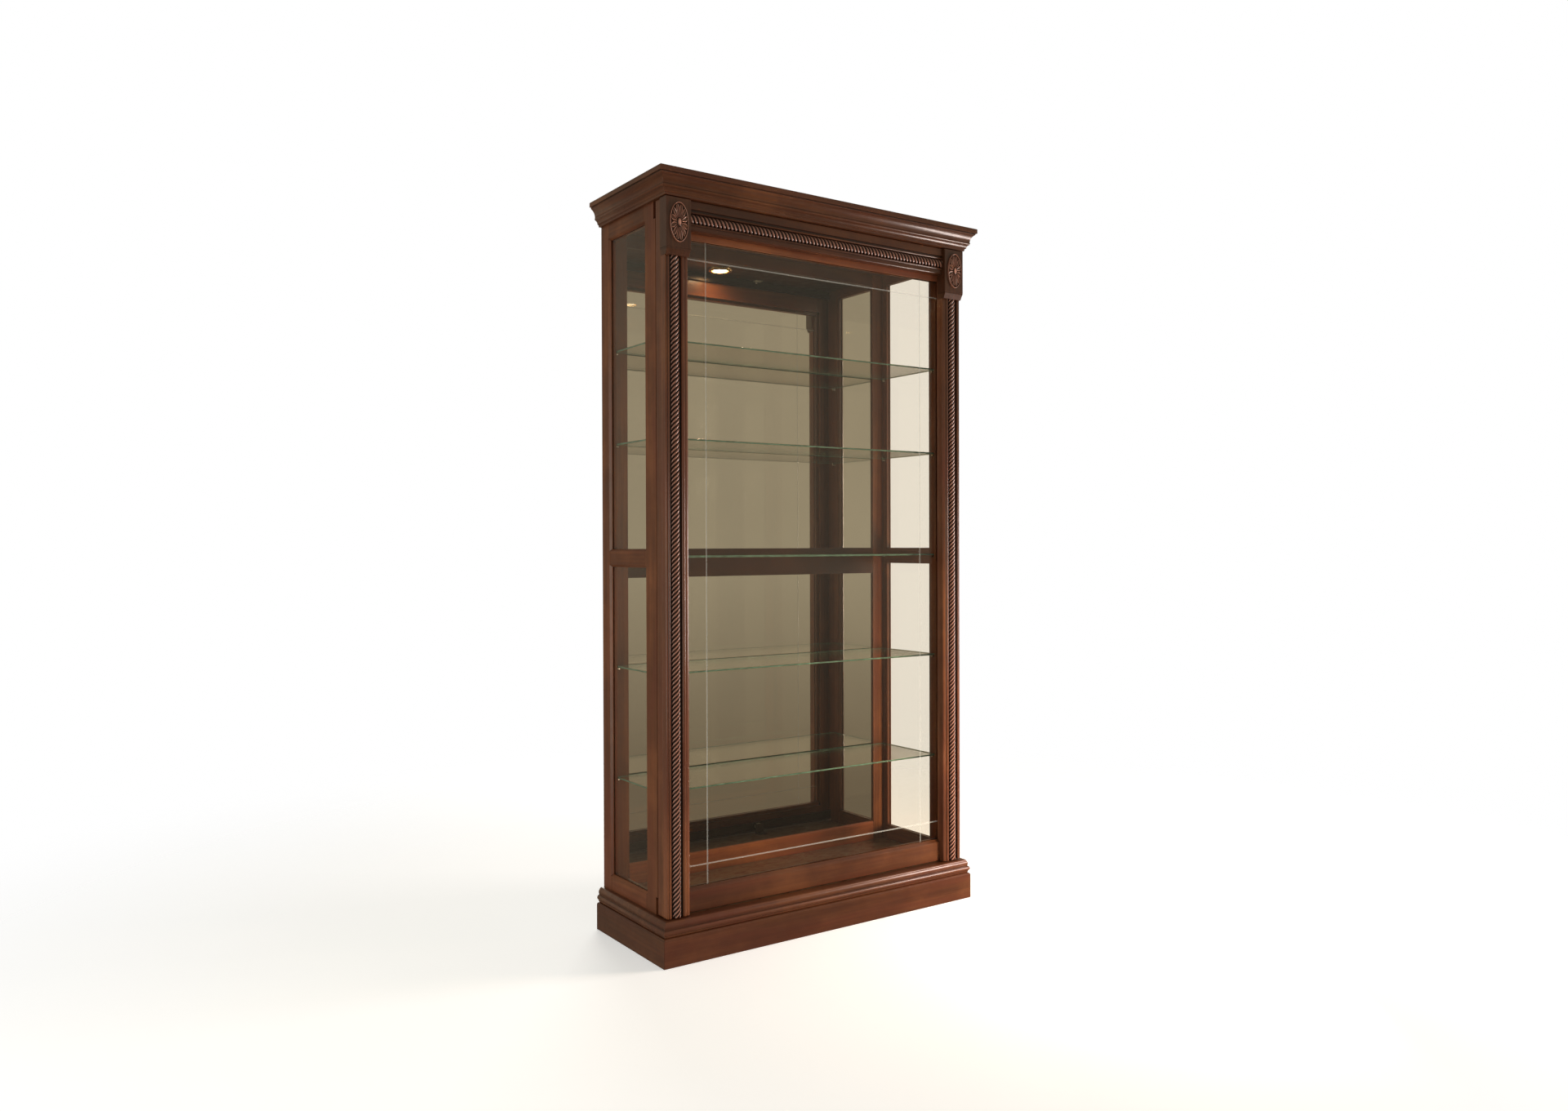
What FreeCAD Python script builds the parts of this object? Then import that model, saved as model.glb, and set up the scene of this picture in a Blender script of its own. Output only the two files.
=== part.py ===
"""Curio cabinet: mirror-backed, lit display case whose whole front is one sliding door.

Frame: +Z up, +X to the right seen from the front, -Y towards the viewer.
Origin at the centre of the footprint, on the floor. All sizes in millimetres.
"""
import os
import FreeCAD, Part
from FreeCAD import Vector as V

# ---------------------------------------------------------------- overall size
WIDTH = 1102.0          # over the crown
DEPTH = 415.0           # crown front to rear
HEIGHT = 2057.0
Y_BACK = DEPTH / 2
Y_FRONT = -DEPTH / 2

# ---------------------------------------------------------------- base
PLINTH_HALF = 537.7     # half width of the plinth
PLINTH_Y = -187.0       # its front face
PLINTH_TOP = 76.0
PLINTH_T = 20.0
DECK_Z = 117.0          # top of the deck and of the base moulding
DECK_T = 18.0
BASE_RING = 40.0        # width of the base moulding, plan view

# ---------------------------------------------------------------- case
CASE_HALF = 514.5       # outer face of the side frames
SIDE_T = 22.0
SIDE_IN = CASE_HALF - SIDE_T
CASE_Y = -111.5         # front edge of the case, behind the door
CASE_TOP = 1991.5
FRONT_STILE_Y = -48.0   # rear edge of the front stile
REAR_STILE_Y = 158.5    # front edge of the rear stile
SIDE_BOTTOM_Z = 163.0   # pane openings, from the bottom rail up
MID_LO, MID_HI = 1030.0, 1080.0
SIDE_TOP_Z = 1945.5
REBATE = 8.0            # glass overlap round each opening
PANE_X = 502.5          # inner face of a side pane
PANE_T = 4.0
NOTCH_DEPTH = 10.0      # slots in the front stiles that the door channels pass through
STICKING = 6.0          # chamfer round the outside of each pane opening

# ---------------------------------------------------------------- back
BACK_Y = 177.5          # front face of the back frame
BACK_T = 22.0
BACK_STILE_X = 449.0    # inner edge of a back stile
BACK_RAILS = {"top": (1940.0, 1979.5), "mid": (997.0, 1080.0), "bottom": (DECK_Z, 178.0)}
MIRROR_Y = 183.5
MIRROR_T = 4.0
BACKING_T = 5.0

# ---------------------------------------------------------------- top
CEILING_Z = 1979.5
CROWN_HALF = 522.5      # crown outline at its lower edge
CROWN_Y = -179.0
CROWN_OUT = 28.5        # how far the crown flares out
TOP_BOARD_T = 16.0

# ---------------------------------------------------------------- shelves
SHELF_Z = (428.5, 743.4, 1056.2, 1372.5, 1634.4)   # undersides
SHELF_T = 6.0
SHELF_HALF = 489.0
SHELF_Y = (-80.5, 174.5)
PIN_Y = (-72.0, 171.0)
PIN_R = 3.0
PIN_SHANK_R = 2.5
PIN_HOLE_R = 2.55

# ---------------------------------------------------------------- lamp
LAMP_Y = -34.5
LAMP_HOLE_R = 33.0
TRIM_R = 40.0

# ---------------------------------------------------------------- door
DOOR_HALF = 515.0
DOOR_IN = 447.0         # inner edge of the pilasters and stiles
DOOR_Y = -142.5         # front of the door frame
DOOR_BACK = -114.5
DOOR_LO, DOOR_HI = 120.0, 1989.5
DOOR_TOP_RAIL_Z = 1895.0
DOOR_BOTTOM_RAIL_Z = 184.0
DOOR_BOTTOM_RAIL_Y = -147.5
DOOR_REBATE = 10.0
DOOR_GLASS_Y = -136.5
DOOR_GLASS_T = 5.0
GROOVE_X = 377.0        # V-grooves, from the centre line
GROOVE_Z = (238.5, 1844.5)
GROOVE_W = 4.0
GROOVE_DEPTH = 1.6
PILASTER_Y = -167.5     # front of the pilasters and frieze
BLOCK_IN, BLOCK_OUT = 444.4, 518.5
BLOCK_Y = -177.5
BLOCK_LO = 1841.0        # foot of the corner blocks, on the pilasters
BLOCK_BODY = 1859.5      # lower edge of their plain body
FRIEZE_LO = 1912.0
ROPE_FLOOR = -159.5
ROPE_HALF = 12.5
ROPE_RISE = 9.0
ROPE_X = 485.5
ROPE_TOP_Z = 1944.5
ROSETTE_Z = 1925.0
ROSETTE_X = 481.5
ROSETTE_A, ROSETTE_B = 27.0, 52.0
ROSETTE_T = 7.0

# ---------------------------------------------------------------- door running gear
ROLLER_R = 12.0
ROLLER_X = 189.0
ROLLER_Z = 138.3
ROLLER_W = 6.0
CHANNEL_HALF = 508.0
CHANNEL_T = 1.5
CHANNEL_DEPTH = 10.5
CHANNEL_GAP = 24.6      # clear height inside the lower channel
GUIDE_R = 3.6
GUIDE_X = 189.0
GUIDE_SLOT = 7.8        # clear width of the upper channel
GUIDE_LO, GUIDE_HI = 1956.0, 1970.0


# ---------------------------------------------------------------- helpers
def box(x0, x1, y0, y1, z0, z1):
    return Part.makeBox(x1 - x0, y1 - y0, z1 - z0, V(x0, y0, z0))


def mirror_x(shape):
    return shape.mirror(V(0, 0, 0), V(1, 0, 0))


def fuse(shapes):
    out = shapes[0]
    for s in shapes[1:]:
        out = out.fuse(s)
    return out.removeSplitter()


def prism(points, vector):
    """Extrude a closed outline. Points are vectors; ("arc", mid, end) makes an arc."""
    edges, here = [], points[0]
    for p in points[1:] + [points[0]]:
        if isinstance(p, tuple):
            edges.append(Part.Arc(here, p[1], p[2]).toShape())
            here = p[2]
        elif (p - here).Length > 1e-6:
            edges.append(Part.makeLine(here, p))
            here = p
    return Part.Face(Part.Wire(edges)).extrude(vector)


def outline(items, place):
    """Turn (u, v) pairs, and ((u, v), (u, v)) arc pairs, into points for prism()."""
    out = []
    for it in items:
        if isinstance(it[0], tuple):
            out.append(("arc", place(*it[0]), place(*it[1])))
        else:
            out.append(place(*it))
    return out


def ring_runs(profile, half, y_front, y_back):
    """Front, left and right runs of a moulding mitred round three sides.

    profile is a closed outline of (outward offset, height) pairs.
    """
    big = half + 100.0
    front = prism(outline(profile, lambda o, z: V(-big, y_front - o, z)), V(2 * big, 0, 0))
    right = prism(outline(profile, lambda o, z: V(half + o, y_front - 100, z)),
                  V(0, y_back - y_front + 100, 0))
    reach = 100.0
    wedge = prism([V(-half - reach, y_front - reach, -10), V(half + reach, y_front - reach, -10),
                   V(half - reach, y_front + reach, -10), V(reach - half, y_front + reach, -10)],
                  V(0, 0, HEIGHT + 20))
    side = prism([V(half + reach, y_front - reach, -10), V(half + reach, y_back, -10),
                  V(half - reach, y_back, -10), V(half - reach, y_front + reach, -10)],
                 V(0, 0, HEIGHT + 20))
    right = right.common(side)
    return front.common(wedge), mirror_x(right), right


def frustum(near, far):
    """Solid between two rectangles given as lists of four corners."""
    faces = [Part.Face(Part.makePolygon(r + [r[0]])) for r in (near, far)]
    for i in range(4):
        j = (i + 1) % 4
        faces.append(Part.Face(Part.makePolygon([near[i], near[j], far[j], far[i], near[i]])))
    return Part.makeSolid(Part.makeShell(faces))


def sticking_cutter(x_in, x_out, y0, y1, z0, z1, grow):
    """Frustum that bevels the outer arrises of a pane opening."""
    def rect(x, g):
        return [V(x, y0 - g, z0 - g), V(x, y1 + g, z0 - g), V(x, y1 + g, z1 + g), V(x, y0 - g, z1 + g)]
    more = 0.5
    return frustum(rect(x_in, 0.0), rect(x_out + more * (x_out - x_in) / grow, grow + more))


def cylinder(r, h, at, axis):
    return Part.makeCylinder(r, h, at, axis)


# ---------------------------------------------------------------- base
def base():
    plinth = [(0, 0), (0, 72), (-4, PLINTH_TOP), (-PLINTH_T, PLINTH_TOP), (-PLINTH_T, 0)]
    moulding = [(-8.0, PLINTH_TOP), (-5.6, 79.5), (-5.6, 83.0), ((-1.3, 90.0), (-6.9, 97.0)),
                (-6.9, 100.0), ((-6.0, 106.5), (-9.0, 112.5)), ((-11.0, 115.6), (-14.6, DECK_Z)),
                (-BASE_RING, DECK_Z), (-BASE_RING, PLINTH_TOP)]
    parts = {}
    f, l, r = ring_runs(plinth, PLINTH_HALF, PLINTH_Y, Y_BACK)
    parts["plinth_front"] = f
    parts["plinth_sides"] = Part.makeCompound([l, r])
    inner = PLINTH_HALF - PLINTH_T
    f, l, r = ring_runs(moulding, PLINTH_HALF, PLINTH_Y, Y_BACK)
    parts["base_moulding"] = Part.makeCompound([f, l, r])
    ring = PLINTH_HALF - BASE_RING
    parts["plinth_back"] = fuse([box(-inner, inner, Y_BACK - PLINTH_T, Y_BACK, 0, PLINTH_TOP),
                                 box(-ring, ring, Y_BACK - PLINTH_T, Y_BACK, PLINTH_TOP, DECK_Z - DECK_T)])
    parts["deck_board"] = box(-ring, ring, PLINTH_Y + BASE_RING, Y_BACK, DECK_Z - DECK_T, DECK_Z)
    return parts


# ---------------------------------------------------------------- side frames
def side_openings():
    return [(SIDE_BOTTOM_Z, MID_LO), (MID_HI, SIDE_TOP_Z)]


def pin_holes(y):
    return [cylinder(PIN_HOLE_R, 8.5, V(SIDE_IN - 0.5, y, z - PIN_R), V(1, 0, 0)) for z in SHELF_Z]


def sides():
    y_pane = (FRONT_STILE_Y, REAR_STILE_Y)
    cutters = []
    for z0, z1 in side_openings():
        cutters.append(box(SIDE_IN - 1, PANE_X + PANE_T, y_pane[0] - REBATE, y_pane[1] + REBATE,
                           z0 - REBATE, z1 + REBATE))
        cutters.append(sticking_cutter(CASE_HALF - STICKING, CASE_HALF, y_pane[0], y_pane[1],
                                       z0, z1, STICKING))
    notches = [box(SIDE_IN - 1, CASE_HALF + 1, CASE_Y - 1, CASE_Y + NOTCH_DEPTH, z0, z1)
               for z0, z1 in ((DECK_Z - 1, SIDE_BOTTOM_Z), (SIDE_TOP_Z, CASE_TOP + 1))]

    def piece(y0, y1, z0, z1, cuts):
        s = box(SIDE_IN, CASE_HALF, y0, y1, z0, z1)
        for c in cuts:
            s = s.cut(c)
        return s

    front = piece(CASE_Y, FRONT_STILE_Y, DECK_Z, CASE_TOP, cutters + notches + pin_holes(PIN_Y[0]))
    rear = piece(REAR_STILE_Y, Y_BACK, DECK_Z, CASE_TOP, cutters + pin_holes(PIN_Y[1]))
    rails = {"bottom": (DECK_Z, SIDE_BOTTOM_Z), "mid": (MID_LO, MID_HI), "top": (SIDE_TOP_Z, CASE_TOP)}
    right = {"side_front_stile": front, "side_rear_stile": rear}
    for name, (z0, z1) in rails.items():
        right["side_%s_rail" % name] = piece(y_pane[0], y_pane[1], z0, z1, cutters)
    stops = []
    for name, (z0, z1) in zip(("lower", "upper"), side_openings()):
        y0, y1 = y_pane[0] - REBATE, y_pane[1] + REBATE
        zz0, zz1 = z0 - REBATE, z1 + REBATE
        right["side_pane_" + name] = box(PANE_X, PANE_X + PANE_T, y0 + 1, y1 - 1, zz0 + 1, zz1 - 1)
        sx0, sx1 = SIDE_IN + 1.5, PANE_X
        stops += [box(sx0, sx1, y0, y0 + REBATE, zz0, zz1), box(sx0, sx1, y1 - REBATE, y1, zz0, zz1),
                  box(sx0, sx1, y0 + REBATE, y1 - REBATE, zz0, zz0 + REBATE),
                  box(sx0, sx1, y0 + REBATE, y1 - REBATE, zz1 - REBATE, zz1)]
    parts = {}
    for name, shape in right.items():
        parts[name + "_right"] = shape
        parts[name + "_left"] = mirror_x(shape)
    parts["side_pane_stops"] = Part.makeCompound(stops + [mirror_x(s) for s in stops])
    return parts


# ---------------------------------------------------------------- back
def back():
    openings = [(BACK_RAILS["bottom"][1], BACK_RAILS["mid"][0]), (BACK_RAILS["mid"][1], BACK_RAILS["top"][0])]
    rebates = [box(-BACK_STILE_X - REBATE, BACK_STILE_X + REBATE, MIRROR_Y, BACK_Y + BACK_T + 1,
                   z0 - REBATE, z1 + REBATE) for z0, z1 in openings]
    stile = box(BACK_STILE_X, SIDE_IN, BACK_Y, BACK_Y + BACK_T, DECK_Z, CEILING_Z)
    for c in rebates:
        stile = stile.cut(c)
    parts = {"back_stile_right": stile, "back_stile_left": mirror_x(stile)}
    for name, (z0, z1) in BACK_RAILS.items():
        rail = box(-BACK_STILE_X, BACK_STILE_X, BACK_Y, BACK_Y + BACK_T, z0, z1)
        for c in rebates:
            rail = rail.cut(c)
        if name == "bottom":
            bevel = prism([V(-BACK_STILE_X - 1, BACK_Y - 1, z1 - 5), V(-BACK_STILE_X - 1, BACK_Y - 1, z1 + 1),
                           V(-BACK_STILE_X - 1, BACK_Y + 5, z1 + 1)], V(2 * BACK_STILE_X + 2, 0, 0))
            rail = rail.cut(bevel)
        parts["back_%s_rail" % name] = rail
    edge = BACK_STILE_X + REBATE - 1
    backing = []
    for name, (z0, z1) in zip(("lower", "upper"), openings):
        lo, hi = z0 - REBATE + 1, z1 + REBATE - 1
        parts["mirror_" + name] = box(-edge, edge, MIRROR_Y, MIRROR_Y + MIRROR_T, lo, hi)
        backing.append(box(-edge, edge, MIRROR_Y + MIRROR_T, MIRROR_Y + MIRROR_T + BACKING_T, lo, hi))
    parts["back_panels"] = Part.makeCompound(backing)
    return parts


# ---------------------------------------------------------------- top
def top():
    o = CROWN_OUT
    profile = [(0.0, CASE_TOP), (0.8, 1996.8), (4.3, 1999.0), ((5.2, 2003.4), (9.8, 2008.6)),
               ((12.4, 2011.0), (11.6, 2016.5)), (12.2, 2018.5), ((15.0, 2029.6), (23.0, 2038.6)),
               (24.4, 2040.2), (24.4, 2043.2), (o, 2043.2), (o, HEIGHT - 1.5), (o - 1.5, HEIGHT),
               (0.0, HEIGHT), (0.0, 2036.0), (-20.0, 2012.0), (-20.0, CASE_TOP)]
    f, l, r = ring_runs(profile, CROWN_HALF, CROWN_Y, Y_BACK)
    parts = {"crown_front": f, "crown_sides": Part.makeCompound([l, r])}
    hole = cylinder(LAMP_HOLE_R, 60, V(0, LAMP_Y, CEILING_Z - 5), V(0, 0, 1))
    parts["ceiling_panel"] = box(-SIDE_IN, SIDE_IN, CASE_Y, Y_BACK, CEILING_Z, CASE_TOP).cut(hole)
    inner = CROWN_HALF - 20.0
    parts["top_board"] = box(-inner, inner, CROWN_Y + 20.0, Y_BACK, CASE_TOP,
                             CASE_TOP + TOP_BOARD_T).cut(hole)
    return parts


# ---------------------------------------------------------------- shelves
def shelves():
    parts = {}
    pins = []
    for i, z in enumerate(SHELF_Z):
        plate = box(-SHELF_HALF, SHELF_HALF, SHELF_Y[0], SHELF_Y[1], z, z + SHELF_T)
        parts["shelf_%d" % (i + 1)] = plate.makeChamfer(0.8, plate.Edges)
        for y in PIN_Y:
            at = z - PIN_R
            pin = fuse([cylinder(PIN_R, 10.0, V(SIDE_IN - 10.0, y, at), V(1, 0, 0)),
                        cylinder(4.2, 1.4, V(SIDE_IN - 1.4, y, at), V(1, 0, 0)),
                        cylinder(PIN_SHANK_R, 7.5, V(SIDE_IN, y, at), V(1, 0, 0))])
            pins += [pin, mirror_x(pin)]
    parts["shelf_pins"] = Part.makeCompound(pins)
    return parts


# ---------------------------------------------------------------- lamp
def revolve(points):
    pts = [V(r, LAMP_Y, z) for r, z in points]
    face = Part.Face(Part.makePolygon(pts + [pts[0]]))
    return face.revolve(V(0, LAMP_Y, 0), V(0, 0, 1), 360)


def lamp():
    z = CEILING_Z
    trim = revolve([(28, z - 6), (32, z - 8), (37, z - 6.5), (TRIM_R, z - 2), (TRIM_R, z),
                    (29.5, z), (29.5, z + 8), (28, z + 8)])
    can = revolve([(30, z), (32.4, z), (32.4, 2040), (0, 2040), (0, 2038.5), (30.9, 2038.5), (30.9, z + 1.5),
                   (30, z + 1.5)])
    bulb = revolve([(0, z + 3), (24, z + 3), (25, z + 5), (24.5, z + 9), (13, z + 38), (11, z + 42),
                    (11, 2038.5), (0, 2038.5)])
    return {"lamp_trim": trim, "lamp_can": can, "lamp_bulb": bulb}


# ---------------------------------------------------------------- door
def door():
    parts = {}
    glass_zone = box(-DOOR_IN - DOOR_REBATE, DOOR_IN + DOOR_REBATE, DOOR_GLASS_Y, DOOR_BACK + 1,
                     DOOR_BOTTOM_RAIL_Z - DOOR_REBATE, DOOR_TOP_RAIL_Z + DOOR_REBATE)
    stile = box(DOOR_IN, DOOR_HALF, DOOR_Y, DOOR_BACK, DOOR_LO, DOOR_HI).cut(glass_zone)
    parts["door_stile_right"] = stile
    parts["door_stile_left"] = mirror_x(stile)
    parts["door_top_rail"] = box(-DOOR_IN, DOOR_IN, DOOR_Y, DOOR_BACK, DOOR_TOP_RAIL_Z,
                                 DOOR_HI).cut(glass_zone)
    y, z = DOOR_BOTTOM_RAIL_Y, DOOR_BOTTOM_RAIL_Z
    rail = prism(outline([(y, DOOR_LO), (y, z - 9), (y + 8, z), (DOOR_BACK, z), (DOOR_BACK, DOOR_LO)],
                         lambda u, v: V(-DOOR_IN, u, v)), V(2 * DOOR_IN, 0, 0))
    parts["door_bottom_rail"] = rail.cut(glass_zone)

    gx = DOOR_IN + DOOR_REBATE - 1
    gz = (DOOR_BOTTOM_RAIL_Z - DOOR_REBATE + 1, DOOR_TOP_RAIL_Z + DOOR_REBATE - 1)
    glass = box(-gx, gx, DOOR_GLASS_Y, DOOR_GLASS_Y + DOOR_GLASS_T, gz[0], gz[1])
    w, d, yf = GROOVE_W / 2, GROOVE_DEPTH, DOOR_GLASS_Y
    for x in (-GROOVE_X, GROOVE_X):
        glass = glass.cut(prism([V(x - w, yf, gz[0] - 1), V(x + w, yf, gz[0] - 1), V(x, yf + d, gz[0] - 1)],
                                V(0, 0, gz[1] - gz[0] + 2)))
    for zz in GROOVE_Z:
        glass = glass.cut(prism([V(-gx - 1, yf, zz - w), V(-gx - 1, yf, zz + w), V(-gx - 1, yf + d, zz)],
                                V(2 * gx + 2, 0, 0)))
    parts["door_glass"] = glass
    sy = (DOOR_GLASS_Y + DOOR_GLASS_T, DOOR_GLASS_Y + DOOR_GLASS_T + 8)
    r = DOOR_REBATE
    z0, z1 = DOOR_BOTTOM_RAIL_Z - r, DOOR_TOP_RAIL_Z + r
    parts["door_glass_stops"] = Part.makeCompound([
        box(DOOR_IN, DOOR_IN + r, sy[0], sy[1], z0, z1), box(-DOOR_IN - r, -DOOR_IN, sy[0], sy[1], z0, z1),
        box(-DOOR_IN, DOOR_IN, sy[0], sy[1], z0, z0 + r), box(-DOOR_IN, DOOR_IN, sy[0], sy[1], z1 - r, z1)])
    return parts


def pilaster_profile():
    """Plan outline of the right pilaster as (x, y) pairs."""
    f, c = PILASTER_Y, ROPE_FLOOR
    return [(DOOR_IN, DOOR_Y), (DOOR_IN, f + 6.0), ((450.5, f + 4.2), (458.0, f + 3.8)),
            ((463.0, f), (468.0, f + 4.4)), (468.0, c), (503.0, c), (503.0, f + 3.2),
            ((506.2, f + 1.0), (509.2, f + 3.4)), ((513.6, f + 3.2), (DOOR_HALF, f + 8.0)), (DOOR_HALF, DOOR_Y)]


def frieze_profile():
    """Section of the frieze as (y, z) pairs."""
    f, c = PILASTER_Y, ROPE_FLOOR
    return [(DOOR_Y, DOOR_HI), (f, DOOR_HI), (f, 1968.5), (f + 3.5, 1966.5), (f + 3.5, 1963.5),
            ((f + 0.2, 1960.6), (f + 3.5, 1957.6)), (c, 1957.6), (c, 1931.4), (f + 3.5, 1931.4),
            ((f + 0.2, 1928.6), (f + 3.5, 1925.6)), (f + 3.5, 1916.0), ((f + 4.7, 1913.2), (f + 7.5, FRIEZE_LO)),
            (DOOR_Y, FRIEZE_LO)]


def rope_outline(u0, place):
    return outline([(u0 - ROPE_HALF, ROPE_FLOOR), ((u0, ROPE_FLOOR - ROPE_RISE), (u0 + ROPE_HALF, ROPE_FLOOR))],
                   place)


def front_trim():
    parts = {}
    top_z = BLOCK_LO
    pil = prism(outline(pilaster_profile(), lambda x, y: V(x, y, DOOR_LO)), V(0, 0, top_z - DOOR_LO))
    parts["pilaster_right"] = pil
    parts["pilaster_left"] = mirror_x(pil)
    parts["frieze"] = prism(outline(frieze_profile(), lambda y, z: V(-BLOCK_IN, y, z)), V(2 * BLOCK_IN, 0, 0))
    rope = prism(rope_outline(ROPE_X, lambda x, y: V(x, y, DOOR_LO)), V(0, 0, top_z - DOOR_LO))
    parts["pilaster_ropes"] = Part.makeCompound([rope, mirror_x(rope)])
    parts["frieze_rope"] = prism(rope_outline(ROPE_TOP_Z, lambda z, y: V(-BLOCK_IN, y, z)),
                                 V(2 * BLOCK_IN, 0, 0))

    body = box(BLOCK_IN, BLOCK_OUT, BLOCK_Y, DOOR_Y, BLOCK_BODY, DOOR_HI)
    body = body.makeChamfer(1.2, [e for e in body.Edges if e.BoundBox.YMax < BLOCK_Y + 0.1])
    lip = box(BLOCK_IN + 1.0, BLOCK_OUT - 1.0, BLOCK_Y + 1.0, DOOR_Y, BLOCK_BODY - 3.5, BLOCK_BODY)

    def foot_rect(z, inner, outer, front):
        x0, x1, y0 = BLOCK_IN + inner, BLOCK_OUT - outer, BLOCK_Y + front
        return [V(x0, y0, z), V(x1, y0, z), V(x1, DOOR_Y, z), V(x0, DOOR_Y, z)]

    foot = frustum(foot_rect(BLOCK_LO, 2.2, 2.8, 8.5), foot_rect(BLOCK_BODY - 3.5, 1.6, 1.6, 1.6))
    block = fuse([body, lip, foot])
    parts["corner_blocks"] = Part.makeCompound([block, mirror_x(block)])

    def oval(a, b, y0, y1):
        """Upright elliptic disc."""
        curve = Part.Ellipse(V(ROSETTE_X, y0, ROSETTE_Z + b), V(ROSETTE_X + a, y0, ROSETTE_Z),
                             V(ROSETTE_X, y0, ROSETTE_Z))
        return Part.Face(Part.Wire([curve.toShape()])).extrude(V(0, y1 - y0, 0))

    y = BLOCK_Y
    floor = y - ROSETTE_T + 2.5
    rosette = oval(ROSETTE_A, ROSETTE_B, floor, y)
    rim = oval(ROSETTE_A - 0.8, ROSETTE_B - 0.8, y - ROSETTE_T, floor).cut(
        oval(ROSETTE_A - 3.2, ROSETTE_B - 3.2, y - ROSETTE_T - 0.5, floor + 0.5))
    button = oval(6.0, 10.0, y - ROSETTE_T, floor)
    rosette = fuse([rosette, rim, button])
    parts["rosettes"] = Part.makeCompound([rosette, mirror_x(rosette)])
    return parts


# ---------------------------------------------------------------- running gear
def running_gear():
    parts = {}
    t, h, y0 = CHANNEL_T, CHANNEL_HALF, DOOR_BACK
    y1 = y0 + CHANNEL_DEPTH
    z_lo, z_hi = ROLLER_Z - CHANNEL_GAP / 2, ROLLER_Z + CHANNEL_GAP / 2
    parts["track_channel"] = fuse([
        box(-h, h, y0, y0 + t, z_lo - t, z_hi + t), box(-h, h, y0 + t, y1, z_lo - t, z_lo),
        box(-h, h, y0 + t, y1, z_hi, z_hi + t), box(-h, -h + t, y0 + t, y1, z_lo, z_hi),
        box(h - t, h, y0 + t, y1, z_lo, z_hi)])
    parts["guide_channel"] = fuse([
        box(-h, h, y0, y0 + t, GUIDE_LO - t, GUIDE_HI + 12), box(-h, h, y0 + t, y0 + 2 * t + GUIDE_SLOT,
                                                                  GUIDE_LO - t, GUIDE_LO),
        box(-h, h, y0 + t + GUIDE_SLOT, y0 + 2 * t + GUIDE_SLOT, GUIDE_LO, GUIDE_HI)])
    brackets, pins = [], []
    for s, side in ((-1, "left"), (1, "right")):
        x = s * ROLLER_X
        w0 = y0 + t + 1.5
        wheel = cylinder(ROLLER_R, ROLLER_W, V(x, w0, ROLLER_Z), V(0, 1, 0))
        wheel = wheel.makeChamfer(0.6, [e for e in wheel.Edges if e.BoundBox.ZLength > 20 and
                                        e.BoundBox.YLength < 0.01])
        bore = cylinder(3.05, ROLLER_W + 2, V(x, w0 - 1, ROLLER_Z), V(0, 1, 0))
        parts["roller_" + side] = wheel.cut(bore)
        plate_y = y1 + 2.0
        plate = box(x - 16, x + 16, plate_y, plate_y + 3, DECK_Z, ROLLER_Z + 10)
        foot = box(x - 16, x + 16, plate_y + 3, plate_y + 27, DECK_Z, DECK_Z + 3)
        axle = cylinder(3.0, plate_y + 3 - w0 + 0.8, V(x, w0 - 0.8, ROLLER_Z), V(0, 1, 0))
        collar = cylinder(5.0, plate_y - w0 - ROLLER_W - 0.4, V(x, w0 + ROLLER_W + 0.4, ROLLER_Z), V(0, 1, 0))
        screws = [cylinder(3.2, 1.6, V(x + dx, plate_y + 16, DECK_Z + 3), V(0, 0, 1)) for dx in (-9, 9)]
        brackets.append(fuse([plate, foot, axle, collar] + screws))
        gx, gy = s * GUIDE_X, y0 + t + GUIDE_SLOT / 2
        pin = fuse([cylinder(GUIDE_R, CEILING_Z - GUIDE_LO - 3, V(gx, gy, GUIDE_LO + 3), V(0, 0, 1)),
                    box(gx - 12, gx + 12, CASE_Y + 1, CASE_Y + 22, CEILING_Z - 3, CEILING_Z)])
        pins.append(pin)
    parts["roller_brackets"] = Part.makeCompound(brackets)
    parts["guide_pins"] = Part.makeCompound(pins)
    return parts


def main():
    os.makedirs("parts", exist_ok=True)
    nodes = {}
    for group in (base, sides, back, top, shelves, lamp, door, front_trim, running_gear):
        nodes.update(group())
    for name, shape in sorted(nodes.items()):
        shape.exportStep("parts/%s.step" % name)
        bb = shape.BoundBox
        print("%-26s solids %2d valid %s  x %.1f %.1f  y %.1f %.1f  z %.1f %.1f" % (
            name, len(shape.Solids), shape.isValid(), bb.XMin, bb.XMax, bb.YMin, bb.YMax, bb.ZMin, bb.ZMax))
    print(len(nodes), "nodes")


main()
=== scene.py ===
"""Looks for a tall curio cabinet: a lacquered cherry case with a mirrored back, glass shelves, glass sides and one
wide glass door that slides across the front between twisted-rope pilasters."""

import math

import bmesh
import bpy
from bpy.props import FloatProperty, FloatVectorProperty, IntProperty, PointerProperty
from mathutils import Matrix, Vector


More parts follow.
